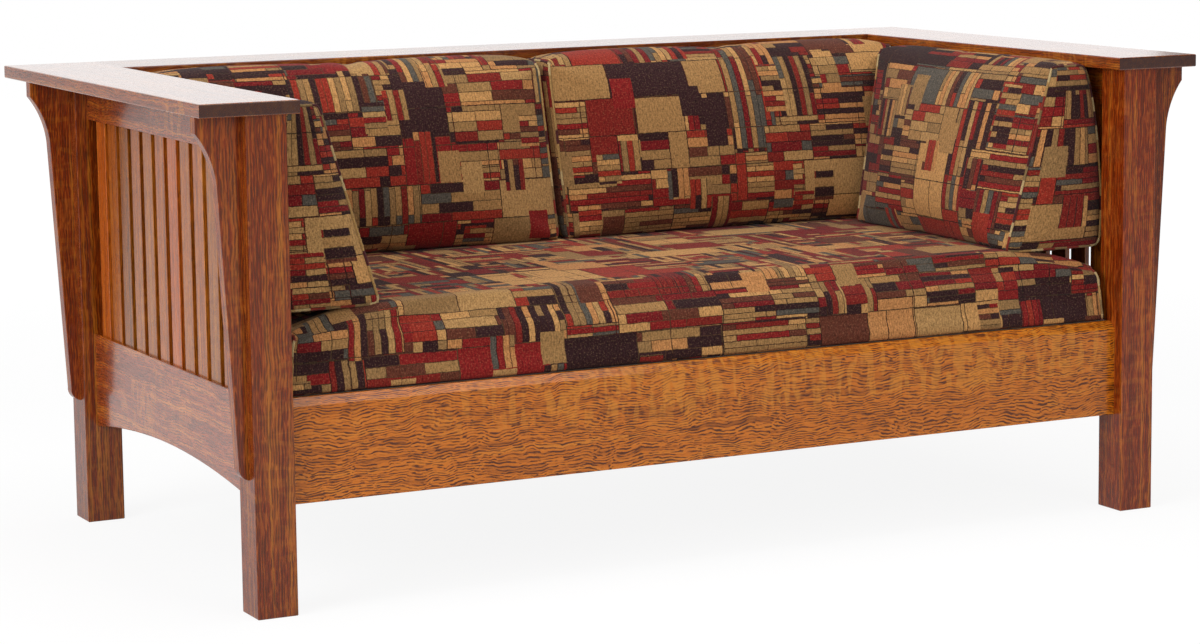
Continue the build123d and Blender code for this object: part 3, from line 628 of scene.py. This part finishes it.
def cut_cover(block, material):
    """A cushion's cover as a mesh with its texture places."""
    unit, quads = block.unit, block.quads
    mesh = bpy.data.meshes.new(block.name)
    mesh.from_pydata(block.shaped(unit).tolist(), [], [quad for quad, _, _ in quads])
    layer = mesh.uv_layers.new(name="UVMap")
    places = np.zeros((len(quads) * 4, 2))
    for axis in range(3):
        for side in (0, 1):
            rows = [number for number, (_, a, s) in enumerate(quads) if (a, s) == (axis, side)]
            ids = np.array([quads[number][0] for number in rows]).reshape(-1)
            loops = (np.array(rows)[:, None] * 4 + np.arange(4)).reshape(-1)
            places[loops] = block.texture_places(unit[ids], axis, side)
    layer.uv.foreach_set("vector", places.reshape(-1))
    mesh.materials.append(material)
    mesh.shade_smooth()
    cover = bpy.data.objects.new(block.name, mesh)
    bpy.context.scene.collection.objects.link(cover)
    return cover


def swell():
    """How far the filling raises the middle of a cover by itself, taken off the crown that it is cut with."""
    return 18 * MM


def fill_cover(cover, pinned):
    """Puffs a cover as cloth round its filling, with its seams held, by no more than the filling's reach."""
    cut = np.array([point.co for point in cover.data.vertices])
    group = cover.vertex_groups.new(name="seams")
    group.add([int(number) for number in pinned], 1.0, "REPLACE")
    cloth = cover.modifiers.new("cloth", "CLOTH")
    for name, value in CLOTH_SETTINGS.items():
        setattr(cloth.settings, name, value)
    cloth.settings.uniform_pressure_force = settings("settle_cushions").pressure
    cloth.settings.vertex_group_mass = group.name
    cloth.settings.effector_weights.gravity = 0
    cloth.collision_settings.use_collision = False
    cloth.point_cache.frame_start, cloth.point_cache.frame_end = 1, FILL_FRAMES
    for moment in range(1, FILL_FRAMES + 1):
        bpy.context.scene.frame_set(moment)
    evaluated = cover.evaluated_get(bpy.context.evaluated_depsgraph_get())
    filled = np.array([point.co for point in evaluated.data.vertices])
    cover.modifiers.remove(cloth)
    cover.vertex_groups.remove(group)
    bpy.context.scene.frame_set(1)
    move = filled - cut
    length = np.maximum(np.linalg.norm(move, axis=1, keepdims=True), TINY)
    return cut + move * np.minimum(1, FILL_REACH / length)


def settle_on(places, others):
    """Lifts points out of the cushions they press on, with a small gap."""
    for other in others:
        tree = BVHTree.FromObject(other, bpy.context.evaluated_depsgraph_get())
        for number, place in enumerate(places):
            near, normal, _, _ = tree.find_nearest(Vector(place), PRESS_REACH)
            if near is None:
                continue
            over = (Vector(place) - near).dot(normal)
            if over < CUSHION_GAP:
                places[number] = np.array(Vector(place) + normal * (CUSHION_GAP - over))
    return places


def seam_tree():
    """The node tree that turns a chain of edges into a folded welt with its stitches."""
    tree = bpy.data.node_groups.new("seam", "GeometryNodeTree")
    for name, kind in (("Chain", "NodeSocketGeometry"), ("Radius", "NodeSocketFloat"),
                       ("Stitch Pitch", "NodeSocketFloat"), ("Seed", "NodeSocketInt"),
                       ("Material", "NodeSocketMaterial")):
        tree.interface.new_socket(name, in_out="INPUT", socket_type=kind)
    tree.interface.new_socket("Seam", in_out="OUTPUT", socket_type="NodeSocketGeometry")
    given = add(tree, "NodeGroupInput").outputs
    curve = add(tree, "GeometryNodeMeshToCurve", {"Mesh": given["Chain"]})
    even = add(tree, "GeometryNodeResampleCurve", {"Curve": curve, "Length": SEAM_STEP}, mode="LENGTH")
    along = add(tree, "GeometryNodeSplineParameter")
    marked = add(tree, "GeometryNodeStoreNamedAttribute",
                 {"Geometry": even, "Name": "along", "Value": along.outputs["Length"]})
    uneven = add(tree, "FunctionNodeRandomValue", {2: 0.8, 3: 1.2, "Seed": given["Seed"]})
    round_wire = add(tree, "GeometryNodeCurvePrimitiveCircle", {"Resolution": 8, "Radius": given["Radius"]})
    fold = add(tree, "GeometryNodeCurveToMesh",
               {"Curve": marked, "Profile Curve": round_wire, "Scale": uneven.outputs[1], "Fill Caps": True})
    spots = add(tree, "GeometryNodeCurveToPoints",
                {"Curve": marked, "Length": given["Stitch Pitch"]}, mode="LENGTH")
    thread = add(tree, "GeometryNodeMeshCylinder",
                 {"Vertices": 6, "Radius": THREAD_RADIUS, "Depth": STITCH_LENGTH})
    out = add(tree, "ShaderNodeVectorMath", {0: (0, 1, 0), 3: given["Radius"]}, operation="SCALE")
    beside = add(tree, "GeometryNodeTransform", {"Geometry": thread, "Translation": out})
    stitches = add(tree, "GeometryNodeInstanceOnPoints",
                   {"Points": spots, "Instance": beside, "Rotation": spots.outputs["Rotation"]})
    joined = add(tree, "GeometryNodeJoinGeometry")
    tree.links.new(fold.outputs[0], joined.inputs[0])
    tree.links.new(stitches.outputs[0], joined.inputs[0])
    real = add(tree, "GeometryNodeRealizeInstances", {0: joined})
    painted = add(tree, "GeometryNodeSetMaterial", {"Geometry": real, "Material": given["Material"]})
    add(tree, "NodeGroupOutput", {0: painted})
    return tree


def sew_seams(block, places, node, welt):
    """Sews the folded seams round both end panels of a cushion, as one plain mesh."""
    chain, edges = [], []
    for side in (0, 1):
        ring = block.seam(side)
        first = len(chain)
        chain += [tuple(places[number]) for number in ring]
        edges += [(first + step, first + (step + 1) % len(ring)) for step in range(len(ring))]
    mesh = bpy.data.meshes.new(f"{block.name}_chain")
    mesh.from_pydata(chain, edges, [])
    seams = bpy.data.objects.new(f"{node}_seams", mesh)
    bpy.context.scene.collection.objects.link(seams)
    tree = bpy.data.node_groups.get("seam") or seam_tree()
    cushions = settings("settle_cushions")
    values = {"Radius": cushions.seam_radius, "Stitch Pitch": cushions.stitch_pitch, "Seed": SEAM_SEED,
              "Material": welt}
    sewn = seams.modifiers.new("seam", "NODES")
    sewn.node_group = tree
    for socket in tree.interface.items_tree:
        if socket.name in values:
            sewn[socket.identifier] = values[socket.name]
    evaluated = seams.evaluated_get(bpy.context.evaluated_depsgraph_get())
    plain = bpy.data.meshes.new_from_object(evaluated, preserve_all_data_layers=True,
                                            depsgraph=bpy.context.evaluated_depsgraph_get())
    seams.modifiers.remove(sewn)
    seams.data = plain
    plain.shade_smooth()
    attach(seams, node)


def upholster(block, node, bounds, others=(), flat_base=False):
    """Makes one cushion that stands for its plain solid, and sews its seams."""
    cloth = bpy.data.materials.get("patchwork_chenille") or chenille("patchwork_chenille")
    welt = bpy.data.materials.get("folded_welt") or welt_cloth("folded_welt")
    cover = cut_cover(block, cloth)
    seams = {number for side in (0, 1) for number in block.seam(side)}
    if flat_base:
        seams.update(np.flatnonzero(block.unit[:, Z] == -1))
    places = np.array([point.co for point in cover.data.vertices])
    places = fill_cover(cover, sorted(seams))
    places = bounds(settle_on(places, others))
    cover.data.vertices.foreach_set("co", places.reshape(-1))
    cover.data.update()
    smooth = cover.modifiers.new("smooth", "SUBSURF")
    smooth.levels = smooth.render_levels = 1
    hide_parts(node)
    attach(cover, node)
    sew_seams(block, places, node, welt)


def hexahedron(low, high):
    """Corners of a box from its lower and upper rectangles, each (x0, x1, y0, y1, z)."""
    return [(level[x], level[2 + y], level[4]) for x in (0, 1) for y in (0, 1) for level in (low, high)]


def back_slope():
    """How far back the back cushions lean for each unit of height."""
    lean = next(joint for joint in frame["joints"] if joint["name"] == "right_back_cushion_lift")["axis"]
    return lean[Y] / lean[Z]


class SETTLE_OT_make_seat_cushion(bpy.types.Operator):
    """Upholster the long seat cushion"""
    bl_idname = "settle.make_seat_cushion"
    bl_label = "Make the seat cushion"

    def execute(self, context):
        low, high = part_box("seat_cushion")
        crown, bulge, spill, rear_spill = 20 * MM, 7 * MM, 6 * MM, 5 * MM
        level = (low.x, high.x, low.y + bulge, high.y - bulge)
        block = Block("seat_cover", hexahedron((*level, low.z), (*level, high.z - crown)),
                      wrap=X, front=(Y, -1), radii=(40 * MM, 9 * MM), shift=(0.13, 0.27),
                      crowns=((Z, 1, crown - swell()), (Y, -1, 2 * bulge), (Y, 1, 2 * bulge)))

        def bounds(places):
            places[:, Z] = np.maximum(places[:, Z], low.z)
            places[:, X] = np.clip(places[:, X], low.x - spill, high.x + spill)
            places[:, Y] = np.clip(places[:, Y], low.y - spill, high.y + rear_spill)
            return places

        upholster(block, "seat_cushion", bounds, flat_base=True)
        return {"FINISHED"}


class SETTLE_OT_make_back_cushions(bpy.types.Operator):
    """Upholster the two cushions that lean on the back cap"""
    bl_idname = "settle.make_back_cushions"
    bl_label = "Make the back cushions"

    def execute(self, context):
        slope = back_slope()
        cap_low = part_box("back_cap")[0]
        crown, top_crown, thickness, under_cap, spill = 33 * MM, 9 * MM, 109 * MM, 36 * MM, 2 * MM
        raised, set_back = 6 * MM, 3 * MM
        for side, sign in SIDES.items():
            node = f"{side}_back_cushion"
            low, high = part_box(node)
            rise = high.z - low.z - top_crown + raised
            rear = high.y - rise * slope + set_back
            foot = (low.x, high.x, rear - thickness, rear, low.z)
            head = (low.x, high.x, rear - thickness + rise * slope, rear + rise * slope, low.z + rise)
            block = Block(f"{side}_back_cover", hexahedron(foot, head),
                          wrap=X, front=(Y, -1), radii=(26 * MM, 26 * MM), shift=(0.71 + 0.9 * sign, 1.37),
                          crowns=((Y, -1, crown - swell()), (Z, 1, top_crown)))

            def bounds(places):
                beside_cap = places[:, Z] > cap_low.z - CAP_MARGIN
                limit = np.where(beside_cap, cap_low.y - CAP_GAP, cap_low.y + under_cap)
                places[:, Y] = np.minimum(places[:, Y], limit)
                places[:, X] = np.clip(places[:, X], low.x - spill, high.x + spill)
                return places

            upholster(block, node, bounds, [bpy.data.objects["seat_cover"]])
        return {"FINISHED"}


class SETTLE_OT_make_side_cushions(bpy.types.Operator):
    """Upholster the wedge cushions that lean on the arm caps"""
    bl_idname = "settle.make_side_cushions"
    bl_label = "Make the side cushions"

    def execute(self, context):
        slope = back_slope()
        crown, top_crown, rear_crown, front_crown = 30 * MM, 3 * MM, 15 * MM, 6 * MM
        head_thickness, tuck, foot_spill, under_cap = 68 * MM, 30.3 * MM, 5 * MM, 37.5 * MM
        for side, sign in SIDES.items():
            node = f"{side}_side_cushion"
            low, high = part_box(node)
            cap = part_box(f"{side}_arm_cap")
            rise = high.z - low.z - top_crown
            outer, inner = (high.x, low.x) if sign > 0 else (low.x, high.x)
            head_outer = outer - sign * tuck
            head_inner = head_outer - sign * head_thickness
            foot = (*sorted((outer + sign * foot_spill, inner)), low.y, high.y - rise * slope, low.z)
            head = (*sorted((head_outer, head_inner)), low.y, high.y, low.z + rise)
            block = Block(f"{side}_side_cover", hexahedron(foot, head),
                          wrap=Y, front=(X, -sign), radii=(20 * MM, 16 * MM), shift=(2.31 + 0.7 * sign, 0.93),
                          crowns=((X, -sign, crown - swell() / 2), (X, sign, rear_crown, Z),
                                  (Z, 1, top_crown), (Y, -1, front_crown)))

            def bounds(places):
                edge = min(abs(corner.x) for corner in cap)
                beside_cap = places[:, Z] > cap[0].z - CAP_MARGIN
                limit = np.where(beside_cap, edge - CAP_GAP, edge + under_cap)
                places[:, X] = np.minimum(places[:, X] * sign, limit) * sign
                return places

            covers = [bpy.data.objects[name] for name in ("seat_cover", f"{side}_back_cover")]
            upholster(block, node, bounds, covers)
        return {"FINISHED"}


# Stage

FLOOR_HALF = 9.0
FADE_START = 1.6
FADE_END = 4.0
# Place, size in metres, power in watts, and whether it is seen in sheen alone
LAMPS = (("left_window", (-4.2, -1.6, 2.2), 2.6, 135.0, False),
         ("front_window", (0.8, -4.6, 2.6), 2.2, 40.0, False),
         ("top_window", (0.2, 0.0, 3.4), 2.4, 55.0, False),
         ("rear_card", (1.2, 6.5, 2.6), 9.0, 230.0, True))
LAMP_AIM = Vector((0, 0, 0.4))
SENSOR_WIDTH = 36.0
PICTURE_SHIFT = -0.035


def lay_floor():
    """A matt pale floor that keeps the settle's shadow and fades to white away from it."""
    mesh = bpy.data.meshes.new("floor")
    corners = [(x * FLOOR_HALF, y * FLOOR_HALF, 0) for x, y in ((-1, -1), (1, -1), (1, 1), (-1, 1))]
    mesh.from_pydata(corners, [], [(0, 1, 2, 3)])
    floor = bpy.data.objects.new("floor", mesh)
    bpy.context.scene.collection.objects.link(floor)
    material, tree = new_material("pale_floor")
    path = add(tree, "ShaderNodeLightPath")
    mirrored = add(tree, "ShaderNodeMath", {0: path.outputs["Is Glossy Ray"], 1: 0.6}, operation="MULTIPLY")
    place = add(tree, "ShaderNodeTexCoord").outputs["Object"]
    away = add(tree, "ShaderNodeVectorMath", {0: place}, operation="LENGTH")
    fade = add(tree, "ShaderNodeMapRange",
               {"Value": away.outputs["Value"], 1: FADE_START, 2: FADE_END, 3: 0.87})
    seen = add(tree, "ShaderNodeMath", {0: path.outputs["Is Camera Ray"], 1: fade, 2: mirrored},
               operation="MULTIPLY_ADD")
    paint = add(tree, "ShaderNodeBsdfDiffuse", {"Color": (0.82, 0.82, 0.82, 1)})
    white = add(tree, "ShaderNodeEmission", {"Color": (1, 1, 1, 1), "Strength": 1.03})
    mixed = add(tree, "ShaderNodeMixShader", {0: seen, 1: paint, 2: white})
    add(tree, "ShaderNodeOutputMaterial", {0: mixed})
    mesh.materials.append(material)


def paint_studio():
    """A world that is white to the camera and dimmer as light and in reflections."""
    world = bpy.data.worlds.new("studio")
    world.use_nodes = True
    tree = world.node_tree
    tree.nodes.clear()
    path = add(tree, "ShaderNodeLightPath")
    plain = add(tree, "ShaderNodeMapRange", {"Value": path.outputs["Is Glossy Ray"], 3: 0.40, 4: 0.25})
    strength = add(tree, "ShaderNodeMix", {0: path.outputs["Is Camera Ray"], 2: plain, 3: 1.0})
    sky = add(tree, "ShaderNodeBackground", {"Color": (1, 1, 1, 1), "Strength": strength})
    add(tree, "ShaderNodeOutputWorld", {0: sky})
    bpy.context.scene.world = world


def hang_lamps():
    """Square lamps that point at the settle, one of them seen in its sheen alone."""
    for name, place, size, power, sheen_only in LAMPS:
        lamp = bpy.data.lights.new(name, "AREA")
        lamp.energy = power
        lamp.shape = "SQUARE"
        lamp.size = size
        hung = bpy.data.objects.new(name, lamp)
        bpy.context.scene.collection.objects.link(hung)
        hung.location = place
        hung.rotation_euler = (LAMP_AIM - Vector(place)).to_track_quat("-Z", "Y").to_euler()
        hung.visible_camera = False
        hung.visible_diffuse = not sheen_only


def set_camera():
    """The camera where the photograph was taken from."""
    stage = settings("settle_stage")
    camera = bpy.data.cameras.new("camera")
    camera.lens = stage.lens
    camera.sensor_width = SENSOR_WIDTH
    camera.shift_y = PICTURE_SHIFT
    ahead = Vector((math.sin(stage.yaw), math.cos(stage.yaw), 0))
    forward = ahead * math.cos(stage.pitch) + Vector((0, 0, math.sin(stage.pitch)))
    right = Vector((math.cos(stage.yaw), -math.sin(stage.yaw), 0))
    up = right.cross(forward)
    rolled_right = right * math.cos(stage.roll) + up * math.sin(stage.roll)
    rolled_up = up * math.cos(stage.roll) - right * math.sin(stage.roll)
    view = bpy.data.objects.new("camera", camera)
    bpy.context.scene.collection.objects.link(view)
    turned = Matrix((rolled_right, rolled_up, -forward)).transposed().to_4x4()
    view.matrix_world = Matrix.Translation(stage.camera_place) @ turned
    bpy.context.scene.camera = view


class SETTLE_OT_set_stage(bpy.types.Operator):
    """Lay the floor, hang the lights and set the camera"""
    bl_idname = "settle.set_stage"
    bl_label = "Set the stage"

    def execute(self, context):
        lay_floor()
        paint_studio()
        hang_lamps()
        set_camera()
        context.scene.view_settings.view_transform = "Standard"
        return {"FINISHED"}


class SETTLE_PT_panel(bpy.types.Panel):
    """The settle's steps and settings"""
    bl_idname = "SETTLE_PT_panel"
    bl_label = "Settle"
    bl_space_type = "VIEW_3D"
    bl_region_type = "UI"
    bl_category = "Settle"

    def draw(self, context):
        for group in GROUPS:
            props = getattr(context.scene, group)
            for name in props.bl_rna.properties.keys():
                if name not in ("rna_type", "name"):
                    self.layout.prop(props, name)
        for step in STEPS:
            self.layout.operator(step.bl_idname)


STEPS = (SETTLE_OT_finish_woodwork, SETTLE_OT_finish_seat_deck, SETTLE_OT_make_seat_cushion,
         SETTLE_OT_make_back_cushions, SETTLE_OT_make_side_cushions, SETTLE_OT_set_stage)
GROUPS = {"settle_wood": SettleWood, "settle_cushions": SettleCushions, "settle_stage": SettleStage}


def register():
    """Adds the settings, the steps and the panel."""
    for kind in (*GROUPS.values(), *STEPS, SETTLE_PT_panel):
        bpy.utils.register_class(kind)
    for name, kind in GROUPS.items():
        setattr(bpy.types.Scene, name, bpy.props.PointerProperty(type=kind))


def unregister():
    """Takes away what register added."""
    for name in GROUPS:
        delattr(bpy.types.Scene, name)
    for kind in reversed((*GROUPS.values(), *STEPS, SETTLE_PT_panel)):
        bpy.utils.unregister_class(kind)


def main():
    """Builds the settle step by step."""
    register()
    bpy.ops.settle.finish_woodwork()
    bpy.ops.settle.finish_seat_deck()
    bpy.ops.settle.make_seat_cushion()
    bpy.ops.settle.make_back_cushions()
    bpy.ops.settle.make_side_cushions()
    bpy.ops.settle.set_stage()


if __name__ == "__main__":
    main()
